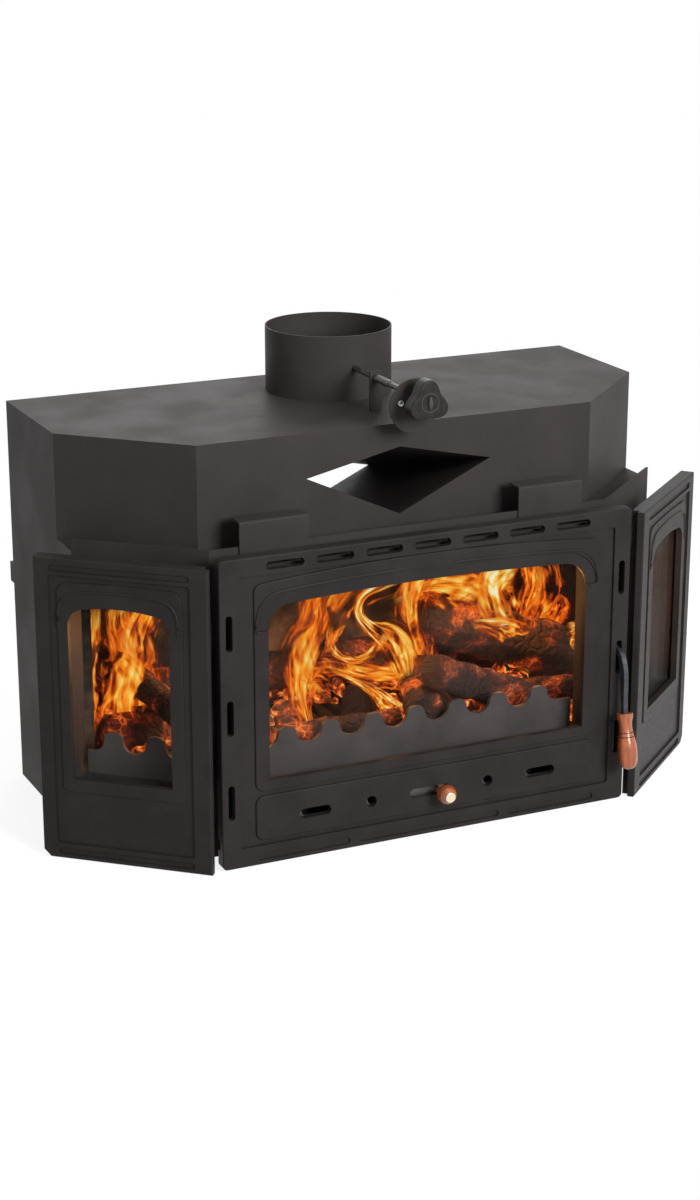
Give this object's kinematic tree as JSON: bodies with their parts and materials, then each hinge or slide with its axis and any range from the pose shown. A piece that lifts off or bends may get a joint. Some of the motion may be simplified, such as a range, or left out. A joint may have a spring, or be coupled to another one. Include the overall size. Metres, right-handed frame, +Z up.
{
  "type": "fireplace insert",
  "caption": "Wood-burning fireplace insert with a hinged glazed centre door, angled side windows, hexagonal hood, warm-air duct, flue collar and turn damper.",
  "frame": {"origin": "where the flue's axis meets the underside of the base", "axes": "+X to the right, +Y to the rear, +Z up along the flue"},
  "size_m": [1.0102, 0.5142, 0.6534],
  "materials": {
    "casing_paint": "heat-resistant matt charcoal paint on sheet steel",
    "cast_iron": "heat-resistant matt charcoal paint on fine-grained castings",
    "plain_steel": "oxidised mild steel",
    "knob_black": "black moulded phenolic",
    "glass": "clear ceramic glass",
    "seal_rope": "knitted glass-fibre rope",
    "turned_wood": "varnished turned beech, stained orange-brown",
    "cap_metal": "pale domed metal cap",
    "lever_steel": "dark blue-grey satin lever",
    "fire_brick": "sooted refractory board"
  },
  "bodies": {
    "case": {"base_plate": "casing_paint", "back_wall": "casing_paint", "side_wall_right": "casing_paint", "side_wall_left": "casing_paint", "front_wall": "casing_paint", "angled_wall_right": "casing_paint", "angled_wall_left": "casing_paint", "ledge_plate": "casing_paint", "hood_front": "casing_paint", "hood_chamfer_right": "casing_paint", "hood_chamfer_left": "casing_paint", "hood_top": "casing_paint", "warm_air_duct": "casing_paint", "rear_lugs": "casing_paint", "lintel_bracket_right": "casing_paint", "lintel_bracket_left": "casing_paint", "flue_collar": "casing_paint", "damper_bracket": "casing_paint", "front_frame": "casing_paint", "wing_frame_right": "casing_paint", "wing_frame_left": "casing_paint", "fire_floor": "casing_paint", "ash_pan_runners": "casing_paint", "wing_right": "cast_iron", "wing_left": "cast_iron", "grate": "cast_iron", "log_guard_front": "cast_iron", "log_guards_side": "cast_iron", "hinge_brackets": "plain_steel", "hinge_pins": "plain_steel", "latch_keeper": "plain_steel", "wing_bolts": "plain_steel", "wing_glass_right": "glass", "wing_glass_left": "glass", "wing_gaskets": "seal_rope", "rear_brick": "fire_brick", "side_brick_right": "fire_brick", "side_brick_left": "fire_brick", "baffle": "fire_brick"},
    "door": {"door_panel": "cast_iron", "door_glass": "glass", "door_gasket": "seal_rope", "door_rope": "seal_rope", "glass_clips": "plain_steel", "clip_screws": "plain_steel", "slider_guides": "plain_steel", "latch_axle": "plain_steel"},
    "latch": {"latch_lever": "lever_steel", "handle_grip": "turned_wood"},
    "slider": {"slider_plate": "plain_steel", "slider_stem": "plain_steel", "slider_knob": "turned_wood", "slider_cap": "cap_metal"},
    "damper": {"damper_rod": "plain_steel", "damper_plate": "plain_steel", "damper_sleeve": "plain_steel", "damper_shield": "casing_paint", "damper_knob": "knob_black"},
    "ash_pan": {"ash_pan": "casing_paint"}
  },
  "joints": [
    {"name": "door_hinge", "type": "hinge", "parent": "case", "child": "door", "pos_m": [-0.293, -0.3195, 0.2], "axis": [0, 0, -1], "range_deg": [0, 100]},
    {"name": "latch_turn", "type": "hinge", "parent": "door", "child": "latch", "pos_m": [0.2935, -0.324, 0.226], "axis": [-1, 0, 0], "range_deg": [0, 35]},
    {"name": "air_slide", "type": "slide", "parent": "door", "child": "slider", "axis": [1, 0, 0], "range_m": [-0.04, 0.01]},
    {"name": "damper_turn", "type": "hinge", "parent": "case", "child": "damper", "pos_m": [0, 0, 0.608], "axis": [0, 1, 0], "range_deg": [0, 90]},
    {"name": "ash_pan_slide", "type": "slide", "parent": "case", "child": "ash_pan", "axis": [0, -1, 0], "range_m": [0, 0.26]}
  ],
  "couplings": [
    {"joint": "ash_pan_slide", "follows": "door_hinge", "m_per_rad": 0.143}
  ]
}
